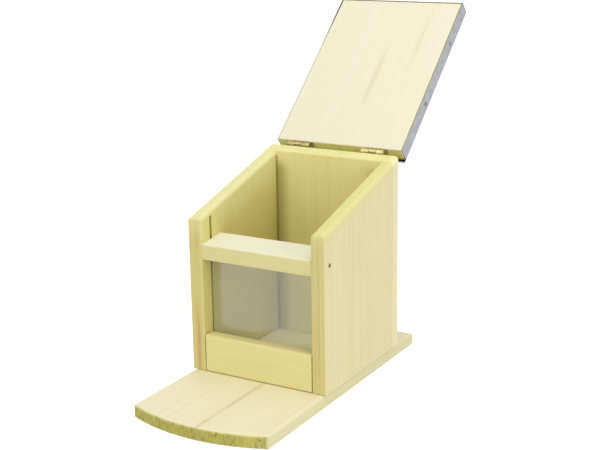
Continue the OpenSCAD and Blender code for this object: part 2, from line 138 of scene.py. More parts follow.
class Kind(Enum):
    """What a socket of a node group carries."""

    VALUE = "NodeSocketFloat"
    VECTOR = "NodeSocketVector"
    COLOUR = "NodeSocketColor"


Sockets = dict[Kind, tuple[str, ...]]
PLACE: Sockets = {Kind.VECTOR: ("place",)}
MASK: Sockets = {Kind.VALUE: ("mask",)}
SURFACE: Sockets = {Kind.COLOUR: ("colour",), Kind.VALUE: ("roughness", "height")}


class Graph:
    """Short ways to add and join the nodes of one shader tree."""

    def __init__(self, tree: bpy.types.NodeTree) -> None:
        """Take the tree that the nodes go into."""
        self.tree = tree

    def fill(self, node: bpy.types.Node, feeds: Feeds) -> None:
        """Join outputs to a node's inputs, or set the inputs' own values.

        Args:
            node: Node to feed.
            feeds: Output or value for each input, by name or number.
        """
        for key, value in feeds.items():
            if isinstance(value, bpy.types.NodeSocket):
                self.tree.links.new(value, node.inputs[key])
            else:
                node.inputs[key].default_value = value

    def add(self, kind: str, feeds: Feeds | None = None, **settings: object) -> bpy.types.Node:
        """Add a node.

        Args:
            kind: Class name of the node.
            feeds: Output or value for each input that doesn't keep its own.
            **settings: Properties by name.

        Returns:
            The new node.
        """
        node = self.tree.nodes.new(kind)
        for name, value in settings.items():
            setattr(node, name, value)
        self.fill(node, feeds or {})
        return node

    def math(self, operation: str, a: Feed, b: Feed = 0.0, clamp: bool = False) -> Socket:
        """Combine two numbers by a named operation, and keep the result between 0 and 1 if asked."""
        return self.add("ShaderNodeMath", {0: a, 1: b}, operation=operation, use_clamp=clamp).outputs[0]

    def plus(self, *terms: Feed) -> Socket:
        """Add numbers."""
        return reduce(lambda a, b: self.math("ADD", a, b), terms)

    def times(self, *factors: Feed) -> Socket:
        """Multiply numbers."""
        return reduce(lambda a, b: self.math("MULTIPLY", a, b), factors)

    def minus(self, a: Feed, b: Feed) -> Socket:
        """Take the second number from the first."""
        return self.math("SUBTRACT", a, b)

    def share(self, part: Feed, whole: Feed) -> Socket:
        """Tell how large a number is beside another, whatever its sign."""
        return self.math("DIVIDE", self.math("ABSOLUTE", part), whole)

    def limited(self, value: Feed) -> Socket:
        """Keep a number between 0 and 1."""
        return self.math("ADD", value, 0.0, clamp=True)

    def swing(self, value: Feed, amount: Feed) -> Socket:
        """Turn a number around a half into one around 0, and scale it."""
        return self.times(self.minus(value, 0.5), amount)

    def span(self, value: Feed, low: float, high: float) -> Socket:
        """Spread a number from 0..1 to low..high."""
        return self.plus(self.times(value, high - low), low)

    def rise(self, value: Feed, low: Feed, high: Feed) -> Socket:
        """Smooth step from 0 at low to 1 at high."""
        feeds = {"Value": value, "From Min": low, "From Max": high}
        return self.add("ShaderNodeMapRange", feeds, interpolation_type="SMOOTHSTEP").outputs[0]

    def fall(self, value: Feed, low: Feed, high: Feed) -> Socket:
        """Smooth step from 1 at low to 0 at high."""
        return self.minus(1.0, self.rise(value, low, high))

    def vector(self, operation: str, a: Feed, b: Feed = ORIGIN) -> Socket:
        """Combine two vectors by a named operation, which gives a vector, or a number for a length."""
        outputs = self.add("ShaderNodeVectorMath", {0: a, 1: b}, operation=operation).outputs
        return outputs["Value" if operation == "LENGTH" else "Vector"]

    def split(self, place: Feed) -> bpy.types.NodeOutputs:
        """Take a vector apart into X, Y and Z."""
        return self.add("ShaderNodeSeparateXYZ", {0: place}).outputs

    def join(self, x: Feed, y: Feed, z: Feed) -> Socket:
        """Make a vector of three numbers."""
        return self.add("ShaderNodeCombineXYZ", {0: x, 1: y, 2: z}).outputs[0]

    def scaled(self, place: Feed, factor: Feed) -> Socket:
        """Multiply a vector by a number."""
        return self.vector("MULTIPLY", place, self.join(factor, factor, factor))

    def noise(self, place: Feed, size: Triple, detail: float = 2.0,
              rough: float = 0.5) -> bpy.types.NodeOutputs:
        """Noise in patches of a given size.

        Args:
            place: Where to read it.
            size: Size of one patch along each axis.
            detail: Number of finer layers.
            rough: Strength of the finer layers.

        Returns:
            A number and a colour, both around a half.
        """
        place = self.vector("MULTIPLY", place, tuple(1 / length for length in size))
        feeds = {"Vector": place, "Scale": 1.0, "Detail": detail, "Roughness": rough}
        return self.add("ShaderNodeTexNoise", feeds).outputs

    def patches(self, place: Feed, size: Triple, detail: float = 2.0, rough: float = 0.5) -> Socket:
        """Noise in patches of a given size, as a number around a half."""
        return self.noise(place, size, detail, rough)[0]

    def warped(self, place: Feed, size: Triple, detail: float, amount: Feed) -> Socket:
        """Push a place about by noise in patches of a given size."""
        push = self.vector("SUBTRACT", self.noise(place, size, detail)[1], (0.5, 0.5, 0.5))
        return self.vector("ADD", place, self.scaled(push, amount))

    def mix(self, share: Feed, a: Feed, b: Feed, blend: str = "MIX") -> Socket:
        """Mix two colours, with a share of the second."""
        node = self.add("ShaderNodeMix", {0: share, 6: a, 7: b}, data_type="RGBA", blend_type=blend)
        return node.outputs[2]

    def tinted(self, share: Feed, colour: Feed, tint: Feed) -> Socket:
        """Multiply a share of a colour by a tint."""
        return self.mix(share, colour, self.mix(1.0, colour, tint, "MULTIPLY"))


class EffectGroup(Graph):
    """A shader node group with named inputs and outputs."""

    def __init__(self, name: str, takes: Sockets, gives: Sockets) -> None:
        """Make the group with nothing between its inputs and outputs.

        Args:
            name: Name of the group.
            takes: Names of the inputs by kind.
            gives: Names of the outputs by kind.
        """
        super().__init__(bpy.data.node_groups.new(name, "ShaderNodeTree"))
        for direction, sockets in (("INPUT", takes), ("OUTPUT", gives)):
            for kind, labels in sockets.items():
                for label in labels:
                    self.tree.interface.new_socket(name=label, in_out=direction, socket_type=kind.value)
        self.takes = self.add("NodeGroupInput").outputs
        self.results = self.add("NodeGroupOutput")

    def give(self, **results: Feed) -> None:
        """Send results to the outputs of those names."""
        self.fill(self.results, results)

    def place_in(self, graph: Graph, **values: Feed) -> bpy.types.NodeOutputs:
        """Place the group in a material, and feed its inputs by name."""
        return graph.add("ShaderNodeGroup", values, node_tree=self.tree).outputs


def year_rings(g: EffectGroup, place: Socket) -> Socket:
    """Late wood of the year rings around the pith, darker in some years than in others.

    Args:
        g: The pine group.
        place: Place in one strip of the board.

    Returns:
        0 in early wood, up to 1 in late wood.
    """
    bent = g.warped(place, (60.0, 60.0, 240.0), 1.5, g.takes["wander"])
    from_pith = g.vector("SUBTRACT", bent, g.takes["pith"])
    radius = g.vector("LENGTH", g.vector("MULTIPLY", from_pith, (1.0, 1.0, 0.0)))
    turn = g.math("DIVIDE", radius, g.takes["ring"])
    phase = g.math("FRACT", turn)
    year = g.add("ShaderNodeTexWhiteNoise", noise_dimensions="1D")
    g.fill(year, {"W": g.math("FLOOR", turn)})
    late = g.minus(g.rise(phase, 0.25, 0.86), g.rise(phase, 0.88, 1.0))
    return g.times(late, g.span(year.outputs["Value"], 0.3, 1.0))


def pine_face(g: EffectGroup, place: Socket, late_wood: Socket, fibre: Socket, fleck: Socket) -> Socket:
    """Colour of the long faces, with a tint for narrow edges and painted shade on the face inside the
    hopper.

    Args:
        g: The pine group.
        place: Place in one strip of the board.
        late_wood: Late wood of the year rings.
        fibre: Noise along the fibres.
        fleck: Mask of short dark flecks.

    Returns:
        The colour.
    """
    band = g.patches(place, (9.0, 9.0, 320.0))
    cloud = g.patches(place, (34.0, 34.0, 120.0))
    waves = [g.swing(wave, weight) for wave, weight in ((fibre, 0.8), (band, 1.9), (cloud, 1.1))]
    tone = g.plus(g.times(late_wood, 0.9), *waves, g.times(fleck, 0.35))
    tone = g.limited(g.plus(g.times(tone, g.takes["contrast"]), 0.3))
    face = g.mix(tone, g.takes["early"], g.takes["late"])
    blush = g.rise(g.patches(place, (13.0, 13.0, 150.0)), 0.46, 0.66)
    face = g.tinted(g.times(blush, g.takes["blush"]), face, PINK)
    normal = g.split(g.takes["facing"])
    narrow = g.rise(g.math("ABSOLUTE", normal["X"]), 0.6, 0.95)
    # The face inside the hopper gets painted shade, darker and yellower.
    inside = g.rise(g.times(normal["Y"], g.takes["inner"]), 0.6, 0.95)
    return g.tinted(inside, g.tinted(narrow, face, g.takes["edge_tint"]), g.takes["inner_shade_tint"])


def pine_group() -> EffectGroup:
    """Figure of a glazed pine board: year rings, fibres, end grain and edges where the glaze gathers.

    Returns:
        The group. Places are millimetres in the board's own frame.
    """
    g = EffectGroup(
        "pine_figure",
        {Kind.VECTOR: ("place", "facing", "pith"), Kind.COLOUR: PINE_COLOURS,
         Kind.VALUE: ("joint_a", "joint_b", "inner", *PINE_VALUES)},
        SURFACE,
    )
    takes = g.takes
    across = g.split(takes["place"])["X"]
    strip = g.plus(*(g.math("GREATER_THAN", across, takes[joint]) for joint in ("joint_a", "joint_b")))
    place = g.vector("ADD", takes["place"], g.scaled(STRIP_SHIFT, strip))
    late_wood = year_rings(g, place)
    fibre = g.patches(place, (0.9, 0.9, 46.0), 3.0, 0.6)
    fleck = g.rise(g.patches(place, (0.7, 0.7, 14.0), 1.0), 0.64, 0.76)
    face = pine_face(g, place, late_wood, fibre, fleck)

    side = g.split(g.vector("ABSOLUTE", takes["facing"]))
    most = g.math("MAXIMUM", g.math("MAXIMUM", side["X"], side["Y"]), side["Z"])
    corner = g.rise(g.minus(1.0, most), 0.05, 0.20)
    across_grain = g.span(g.rise(side["Z"], 0.2, 0.5), 0.45, 1.0)
    uneven = g.span(g.patches(place, (5.0, 5.0, 16.0)), 0.15, 1.3)
    edge = g.times(corner, across_grain, uneven, takes["glaze_share"])

    stroke = g.patches(place, (1.0, 5.0, 4.0), 3.0, 0.65)
    speck = g.patches(place, (0.9, 1.6, 1.6), 3.0, 0.7)
    soak = g.patches(place, (14.0, 40.0, 14.0))
    cut_end = g.rise(g.plus(side["Z"], g.swing(stroke, 0.3)), 0.55, 1.0)
    dark = g.plus(g.times(late_wood, 0.25), g.rise(stroke, 0.42, 0.68))
    dark = g.times(dark, g.span(g.rise(speck, 0.36, 0.56), 0.35, 1.0), g.rise(soak, 0.30, 0.55))
    end = g.mix(g.limited(dark), takes["end"], takes["end_dark"])

    g.give(
        colour=g.mix(cut_end, g.mix(edge, face, takes["glaze"]), end),
        roughness=g.plus(g.span(fibre, 0.44, 0.60), g.times(cut_end, 0.18)),
        height=g.plus(g.times(fibre, 0.35), g.times(late_wood, 0.25), g.times(fleck, -0.30),
                      g.times(cut_end, speck, 1.6)),
    )
    return g


def seam_group() -> EffectGroup:
    """A glue joint between two strips of a board, which comes and goes along the grain.

    Returns:
        The group, whose mask is 1 in the middle of the joint.
    """
    g = EffectGroup("glue_joint", {**PLACE, Kind.VALUE: ("middle", "half_width")}, MASK)
    axes = g.split(g.takes["place"])
    near = g.fall(g.share(g.minus(axes["X"], g.takes["middle"]), g.takes["half_width"]), 0.1, 1.0)
    drift = g.patches(g.join(g.takes["middle"], 0.0, axes["Z"]), (1.0, 1.0, 30.0))
    g.give(mask=g.times(near, g.rise(drift, 0.2, 0.6)))
    return g


def streak_group() -> EffectGroup:
    """A resin streak that runs along the grain and fades at both ends.

    Returns:
        The group, whose mask is 1 in the heart of the streak.
    """
    values = ("across", "middle", "half_length", "width", "lean")
    g = EffectGroup("resin_streak", {**PLACE, Kind.VALUE: values}, MASK)
    takes = g.takes
    axes = g.split(takes["place"])
    along = g.minus(axes["Z"], takes["middle"])
    wobble = g.patches(g.join(takes["across"], 0.0, axes["Z"]), (1.0, 1.0, 26.0))
    line = g.plus(takes["across"], g.times(along, takes["lean"]))
    off = g.plus(g.minus(axes["X"], line), g.swing(wobble, 3.0))
    near = g.fall(g.share(off, takes["width"]), 0.0, 1.0)
    fade = g.fall(g.share(along, takes["half_length"]), 0.15, 1.0)
    grit = g.patches(takes["place"], (0.8, 0.8, 30.0))
    g.give(mask=g.limited(g.times(near, fade, g.span(grit, 0.4, 1.4))))
    return g


def recess_group() -> EffectGroup:
    """Painted shade in a groove or an inner corner that runs along the grain and stops below the top.

    Returns:
        The group, whose mask is 1 inside the recess.
    """
    values = ("middle", "half_width", "core", "mouth", "floor", "top", "fade")
    g = EffectGroup("shaded_recess", {**PLACE, Kind.VALUE: values}, MASK)
    takes = g.takes
    axes = g.split(takes["place"])
    off = g.share(g.minus(axes["X"], takes["middle"]), takes["half_width"])
    depth = g.math("ABSOLUTE", axes["Y"])
    past = g.math("GREATER_THAN", depth, takes["mouth"])
    short = g.math("LESS_THAN", depth, takes["floor"])
    below = g.rise(g.minus(takes["top"], axes["Z"]), 0.0, takes["fade"])
    g.give(mask=g.times(g.fall(off, takes["core"], 1.0), past, short, below))
    return g


def soak_group() -> EffectGroup:
    """Glaze that has soaked into a board below its cut top, which may slope across the board.

    Returns:
        The group, whose mask is 1 at the top and fades downwards.
    """
    g = EffectGroup("soaked_top", {**PLACE, Kind.VALUE: ("top", "climb", "depth")}, MASK)
    axes = g.split(g.takes["place"])
    top = g.plus(g.takes["top"], g.times(axes["X"], g.takes["climb"]))
    ragged = g.patches(g.takes["place"], (2.2, 2.2, 30.0), 3.0, 0.6)
    below = g.math("DIVIDE", g.minus(top, axes["Z"]), g.takes["depth"])
    g.give(mask=g.fall(g.plus(below, g.swing(ragged, 1.1)), 0.1, 1.0))
    return g


def metal_group() -> EffectGroup:
    """Wear and weather of bare metal: fine scratches, dull patches and grime.

    Returns:
        The group. Places are millimetres.
    """
    takes = {**PLACE, Kind.COLOUR: ("bright", "dull", "grime"), Kind.VALUE: ("smooth", "grime_share")}
    g = EffectGroup("worn_metal", takes, SURFACE)
    place = g.takes["place"]
    cloud = g.patches(place, (7.0, 7.0, 7.0), 3.0, 0.6)
    scratch = g.patches(place, (30.0, 0.35, 0.35))
    grain = g.patches(place, (0.5, 0.5, 0.5))
    dirt = g.rise(g.patches(place, (3.0, 3.0, 3.0), 4.0, 0.65), 0.52, 0.75)
    dirt = g.times(dirt, g.takes["grime_share"])
    metal = g.mix(g.rise(cloud, 0.3, 0.7), g.takes["bright"], g.takes["dull"])
    g.give(
        colour=g.mix(dirt, metal, g.takes["grime"]),
        roughness=g.limited(g.plus(g.takes["smooth"], g.times(cloud, 0.18), g.times(dirt, 0.3))),
        height=g.plus(g.times(scratch, 0.5), g.times(grain, 0.5)),
    )
    return g


def spangle_group() -> EffectGroup:
    """Crystal pattern of zinc on galvanised sheet.

    Returns:
        The group. Places are millimetres.
    """
    g = EffectGroup("zinc_spangle", {**PLACE, Kind.COLOUR: ("pale", "deep")}, SURFACE)
    place = g.warped(g.takes["place"], (4.0, 4.0, 4.0), 2.0, 3.0)
    crystal_size = 6.0
    cell = g.add("ShaderNodeTexVoronoi", {"Vector": place, "Scale": 1 / crystal_size}, feature="F1")
    flake = g.split(cell.outputs["Color"])["X"]
    feather = g.patches(place, (1.0, 5.0, 1.0), 3.0, 0.6)
    cloud = g.patches(g.takes["place"], (40.0, 40.0, 40.0), 3.0)
    dent = g.patches(g.takes["place"], (28.0, 28.0, 28.0), 1.0)
    shade = g.limited(g.plus(g.times(flake, 0.4), g.times(feather, 0.3), g.times(cloud, 0.4)))
    g.give(
        colour=g.mix(shade, g.takes["pale"], g.takes["deep"]),
        roughness=g.span(shade, 0.38, 0.56),
        height=g.plus(g.times(flake, 0.06), g.times(dent, 1.2)),
    )
    return g


@dataclass(frozen=True)
class Effects:
    """The shared node groups."""

    pine: EffectGroup
    seam: EffectGroup
    streak: EffectGroup
    recess: EffectGroup
    soak: EffectGroup
    metal: EffectGroup
    spangle: EffectGroup

    @classmethod
    def make(cls) -> "Effects":
        """Make every group once.

        Returns:
            The groups.
        """
        makers = (pine_group, seam_group, streak_group, recess_group, soak_group, metal_group,
                  spangle_group)
        return cls(*(maker() for maker in makers))


class Surface(Graph):
    """Graph of one new material with a Principled shader."""

    def __init__(self, name: str) -> None:
        """Start the material.

        Args:
            name: Name of the material.
        """
        self.material = bpy.data.materials.new(name)
        self.material.use_nodes = True
        super().__init__(self.material.node_tree)
        self.tree.nodes.clear()
        self.shader = self.add("ShaderNodeBsdfPrincipled")
        self.output = self.add("ShaderNodeOutputMaterial", {"Surface": self.shader.outputs[0]})

    def mapped(self, output: str, board: BoardFrame, scale: float) -> Socket:
        """Read coordinates in a board's own frame.

        Args:
            output: Name of the coordinates.
            board: Frame to turn them to.
            scale: Factor from metres.

        Returns:
            The turned coordinates.
        """
        source = self.add("ShaderNodeTexCoord").outputs[output]
        feeds = {"Vector": source, "Rotation": board.turn(), "Scale": (scale, scale, scale)}
        return self.add("ShaderNodeMapping", feeds).outputs[0]

    def place(self, board: BoardFrame = BoardFrame.UPRIGHT) -> Socket:
        """Place in a board's own frame, in millimetres."""
        return self.mapped("Object", board, 1 / MM)

    def facing(self, board: BoardFrame = BoardFrame.UPRIGHT) -> Socket:
        """Direction that the surface looks in, in a board's own frame."""
        return self.mapped("Normal", board, 1.0)

    def bump(self, height: Socket, depth: float) -> Socket:
        """Turn a height of 0 to about 1 into a normal, with a depth in millimetres."""
        return self.add("ShaderNodeBump", {"Height": height, "Distance": depth * MM}).outputs[0]


@dataclass(frozen=True)
class Seam:
    """One glue joint of a board, in millimetres in the board's own frame."""

    middle: float
    half_width: float
    strength: float


@dataclass(frozen=True)
class Streak:
    """One resin streak on a board, in millimetres in the board's own frame."""

    across: float
    middle: float
    half_length: float
    width: float
    strength: float
    lean: float = 0.0
    through: bool = False


@dataclass(frozen=True)
class Recess:
    """A groove or inner corner darkened by painted shade, in millimetres in the board's own frame."""

    middle: float
    half_width: float
    mouth: float
    floor: float
    top: float
    core: float = 0.85
    fade: float = 0.1
    # Colour of the painted shade, and how strongly it is laid on.
    shade: Colour = srgb(136, 133, 48)
    strength: float = 0.8


@dataclass(frozen=True)
class Soak:
    """Glaze that has soaked in below a board's cut top, in millimetres in the board's own frame."""

    top: float
    climb: float
    depth: float
    strength: float


@dataclass(frozen=True)
class PineFinish:
    """Glazed pine of one board. Lengths are millimetres in the board's own frame."""

    name: str
    board: BoardFrame
    pith: tuple[float, float]
    ring: float
    early: Colour
    late: Colour
    contrast: float = 0.35
    edge_tint: Colour = (0.92, 0.85, 0.58, 1.0)
    # Painted shade of the face inside the hopper.
    inner_shade_tint: Colour = (0.95, 0.91, 0.57, 1.0)
    inner: Inner = Inner.NONE
    glaze: Colour = srgb(232, 226, 165)
    end: Colour = srgb(206, 204, 118)
    end_dark: Colour = srgb(140, 132, 58)
    resin: Colour = srgb(196, 158, 96)
    joint_shade: Colour = srgb(194, 176, 112)
    wander: float = 9.0
    glaze_share: float = 0.25
    blush: float = 0.0
    joints: tuple[Seam, ...] = ()
    streaks: tuple[Streak, ...] = ()
    recesses: tuple[Recess, ...] = ()
    soak: Soak | None = None
    relief: float = 0.25
    shine: float = 0.35

    def make(self, effects: Effects) -> bpy.types.Material:
        """Build the material.

        Args:
            effects: The shared node groups.

        Returns:
            The material.
        """
        surface = Surface(self.name)
        place = surface.place(self.board)
        joint_a, joint_b = [*(seam.middle for seam in self.joints), NO_JOINT, NO_JOINT][:2]
        own = {name: getattr(self, name) for name in PINE_VALUES + PINE_COLOURS}
        wood = effects.pine.place_in(surface, place=place, facing=surface.facing(self.board),
                                     pith=(*self.pith, 0.0), joint_a=joint_a, joint_b=joint_b,
                                     inner=self.inner.value, **own)
        surface.fill(surface.shader, {
            "Base Color": self.marked(effects, surface, place, wood["colour"]),
            "Roughness": wood["roughness"],
            "Specular IOR Level": self.shine,
            "Normal": surface.bump(wood["height"], self.relief),
        })
        return surface.material

    def marked(self, effects: Effects, surface: Surface, place: Socket, colour: Socket) -> Socket:
        """Lay soaked glaze, joints, streaks and shaded recesses over the wood.

        Args:
            effects: The shared node groups.
            surface: Graph of the material.
            place: Place in the board's own frame.
            colour: Colour of the plain wood.

        Returns:
            The marked colour.
        """
        axes = surface.split(place)
        turned_place = surface.join(axes["Y"], axes["X"], axes["Z"])
        marks = [(effects.soak, mark, place, self.glaze) for mark in (self.soak,) if mark]
        marks += [(effects.seam, mark, place, self.joint_shade) for mark in self.joints]
        marks += [(effects.streak, mark, turned_place if mark.through else place, self.resin)
                  for mark in self.streaks]
        marks += [(effects.recess, mark, place, mark.shade) for mark in self.recesses]
        for group, mark, where, tone in marks:
            values = {name: value for name, value in asdict(mark).items() if name in group.takes}
            mask = group.place_in(surface, place=where, **values)["mask"]
            colour = surface.mix(surface.times(mask, mark.strength), colour, tone)
        return colour


@dataclass(frozen=True)
class MetalFinish:
    """Plain metal with scratches, dull patches and grime."""

    name: str
    bright: Colour
    dull: Colour
    grime: Colour
    smooth: float
    grime_share: float
    relief: float = 0.03

    def make(self, effects: Effects) -> bpy.types.Material:
        """Build the material.

        Args:
            effects: The shared node groups.

        Returns:
            The material.
        """
        surface = Surface(self.name)
        place = surface.place()
        metal = effects.metal.place_in(surface, place=place, bright=self.bright, dull=self.dull,
                                       grime=self.grime, smooth=self.smooth, grime_share=self.grime_share)
        surface.fill(surface.shader, {
            "Base Color": self.aged(surface, metal["colour"], place),
            "Roughness": metal["roughness"],
            "Metallic": 1.0,
            "Normal": surface.bump(metal["height"], self.relief),
        })
        return surface.material

    def aged(self, surface: Surface, colour: Socket, place: Socket) -> Socket:
        """Leave the metal's colour as it is, with neither tarnish nor painted shade."""
        return colour


@dataclass(frozen=True)
class HingeFinish(MetalFinish):
    """Brass bright on the rolled knuckles, with tarnish and painted shade on the leaves and undersides.
    """

    line: tuple[float, float] = (0.0, 0.0)
    bright_r: float = 1.9
    fade: float = 1.2
    leaf_share: float = 0.88
    under_share: float = 0.75
    # Colour of the tarnish and painted shade on the leaves and undersides.
    tarnish: Colour = srgb(84, 74, 34)

    def aged(self, surface: Surface, colour: Socket, place: Socket) -> Socket:
        """Darken the brass away from the hinge line and on downward faces, as tarnish and painted shade.

        Args:
            surface: Graph of the material.
            colour: Colour of the clean brass.
            place: Place in millimetres.

        Returns:
            The darkened colour.
        """
        off = surface.vector("SUBTRACT", place, (0.0, *self.line))
        radius = surface.vector("LENGTH", surface.vector("MULTIPLY", off, (0.0, 1.0, 1.0)))
        leaf = surface.rise(radius, self.bright_r, self.bright_r + self.fade)
        under = surface.rise(surface.times(surface.split(surface.facing())["Z"], -1.0), 0.0, 0.7)
        share = surface.math("MAXIMUM", surface.times(leaf, self.leaf_share),
                             surface.times(under, self.under_share))
        return surface.mix(share, colour, self.tarnish)


@dataclass(frozen=True)
class ZincFinish:
    """Galvanised sheet: crystal pattern and sheared rims, with painted light and shade on rims, backs and
    lip.

    The left rim is painted light that turns to painted shade towards the front. The right rim is painted
    olive for glaze smeared on it and the painted shade of its gap. The pale flange backs are painted
    light that turns to painted shade towards the front, and the rear lip's dark is painted shade.
    Places are millimetres in the lid's own frame, and the shade's are counted from the board's rear end.
    """

    board_end: float
    left_fold: float
    name: str = "zinc_sheet"
    pale: Colour = srgb(184, 186, 192)
    deep: Colour = srgb(154, 156, 162)
    # Painted light: the bright left rim.
    rim: Colour = srgb(238, 239, 240)
    # Glaze smear and painted shade of the gap on the right rim.
    smeared_rim: Colour = srgb(150, 147, 106)
    shaded_rim: Colour = srgb(30, 29, 24)
    shade_start: float = 100.0
    shade_end: float = 172.0
    # Painted shade on the rear lip.
    grime: Colour = srgb(48, 48, 34)
    # Painted light: the pale, plain backs of the flanges.
    back: Colour = srgb(250, 250, 246)
    metallic: float = 0.85
    back_metallic: float = 0.0
    relief: float = 0.10

    def make(self, effects: Effects) -> bpy.types.Material:
        """Build the material.

        Args:
            effects: The shared node groups.

        Returns:
            The material.
        """
        surface = Surface(self.name)
        place = surface.place(BoardFrame.LID)
        zinc = effects.spangle.place_in(surface, place=place, pale=self.pale, deep=self.deep)
        axes, facing = surface.split(place), surface.split(surface.facing(BoardFrame.LID))
        from_end = surface.minus(axes["Z"], self.board_end)
        shaded = surface.rise(from_end, self.shade_start, self.shade_end)
        # Painted light on the left rim and the flange backs, which turns to painted shade towards the
        # front.
        left_rim = surface.mix(shaded, self.rim, self.shaded_rim)
        on_right = surface.math("GREATER_THAN", axes["X"], self.left_fold)
        on_lip = surface.math("LESS_THAN", from_end, 0.0)
        # Painted shade on the rear lip's rims.
        rim = surface.mix(on_lip, surface.mix(on_right, left_rim, self.smeared_rim), self.grime)
        sheared = surface.rise(surface.times(facing["Y"], -1.0), 0.8, 0.95)
        inwards = surface.times(surface.math("SIGN", axes["X"]), facing["X"], -1.0)
        behind = surface.rise(inwards, 0.8, 0.95)
        back = surface.mix(shaded, self.back, self.shaded_rim)
        surface.fill(surface.shader, {
            "Base Color": surface.mix(behind, surface.mix(sheared, zinc["colour"], rim), back),
            "Roughness": zinc["roughness"],
            "Metallic": surface.span(behind, self.metallic, self.back_metallic),
            "Normal": surface.bump(zinc["height"], self.relief),
        })
        return surface.material


@dataclass(frozen=True)
class PaneFinish:
    """Clear acrylic with a light haze and fine rubbing marks."""

    name: str = "clear_acrylic"
    tint: Colour = srgb(232, 239, 241)
    haze: float = 0.07
    ior: float = 1.49
    smooth: float = 0.02
    rubbed: float = 0.12

    def make(self) -> bpy.types.Material:
        """Build the material, which lets shadow rays pass.

        Returns:
            The material.
        """
        surface = Surface(self.name)
        rub = surface.rise(surface.patches(surface.place(), (18.0, 18.0, 18.0), 4.0, 0.6), 0.4, 0.75)
        surface.fill(surface.shader, {
            "Base Color": self.tint,
            "Roughness": surface.span(rub, self.smooth, self.rubbed),
            "IOR": self.ior,
            "Transmission Weight": 1.0 - self.haze,
        })
        shadow = surface.add("ShaderNodeLightPath").outputs["Is Shadow Ray"]
        clear = surface.add("ShaderNodeBsdfTransparent").outputs[0]
        blend = surface.add("ShaderNodeMixShader", {0: shadow, 1: surface.shader.outputs[0], 2: clear})
        surface.fill(surface.output, {"Surface": blend.outputs[0]})
        return surface.material


def span_of(node: str) -> tuple[Vector, Vector]:
    """Lowest and highest corner of a CAD node, in millimetres."""
    low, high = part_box(node)
    return low / MM, high / MM


def middle_of(node: str) -> Vector:
    """Middle of a CAD node's box, in millimetres."""
    low, high = span_of(node)
    return (low + high) / 2


def hinge_line() -> tuple[float, float]:
    """Y and Z of the lid's hinge line, in millimetres."""
    _, y, z = frame["joints"][0]["pos_m"]
    return y / MM, z / MM


def paint(node: str, material: bpy.types.Material) -> bpy.types.Object:
    """Give a CAD node one material all over.

    Args:
        node: Name of the node.
        material: Its new material.

    Returns:
        The painted piece.
    """
    piece = frame["nodes"][node]
    slots = piece.data.materials
    if not slots:
        slots.append(material)
    for index in range(len(slots)):
        slots[index] = material
    return piece


def turned(profile: Iterable[tuple[float, float]], steps: int = TURN_STEPS) -> bmesh.types.BMesh:
    """Turn a profile about Z into a closed shape.

    Args:
        profile: Radius and height of each point in millimetres, from axis to axis.
        steps: Number of steps in the full turn.

    Returns:
        The shape, with its faces pointing outwards.
    """
    shape = bmesh.new()
    points = [shape.verts.new((radius, 0.0, height)) for radius, height in profile]
    lines = [shape.edges.new(pair) for pair in zip(points, points[1:])]
    bmesh.ops.spin(shape, geom=points + lines, cent=ORIGIN, axis=(0, 0, 1), dvec=ORIGIN,
                   angle=2 * math.pi, steps=steps, use_merge=True)
    bmesh.ops.remove_doubles(shape, verts=shape.verts, dist=MERGE_GAP)
    bmesh.ops.recalc_face_normals(shape, faces=shape.faces)
    return shape


@dataclass(frozen=True)
class DriveSlot:
    """A straight slot, or a cross, for the screwdriver in the top of a screw. Lengths are millimetres."""

    half_width: float
    half_length: float
    above: float
    floor: float
    crossed: bool = False

    def covers(self, face: bmesh.types.BMFace) -> bool:
        """Tell whether a face lies over the slot.

        Args:
            face: Face of the screw.

        Returns:
            True where the slot takes the face away.
        """
        middle = face.calc_center_median()
        across, along = abs(middle.x), abs(middle.y)
        straight = across < self.half_width and along < self.half_length
        cross = self.crossed and along < self.half_width and across < self.half_length
        return middle.z > self.above and (straight or cross)

    def sink(self, shape: bmesh.types.BMesh) -> None:
        """Sink the slot into a screw.

        Args:
            shape: Screw to cut, with its head towards +Z.
        """
        normals = ((1, 0, 0), (0, 1, 0)) if self.crossed else ((1, 0, 0),)
        reaches = (self.half_width, self.half_length) if self.crossed else (self.half_width,)
        for normal in normals:
            for reach in (side * reach for reach in reaches for side in SIDES):
                geometry = [*shape.verts, *shape.edges, *shape.faces]
                bmesh.ops.bisect_plane(shape, geom=geometry, dist=CUT_GAP,
                                       plane_co=Vector(normal) * reach, plane_no=normal)
        lid = [face for face in shape.faces if self.covers(face)]
        for item in bmesh.ops.extrude_face_region(shape, geom=lid)["geom"]:
            if isinstance(item, bmesh.types.BMVert):
                item.co.z = self.floor
        bmesh.ops.delete(shape, geom=lid, context="FACES")
        bmesh.ops.recalc_face_normals(shape, faces=shape.faces)


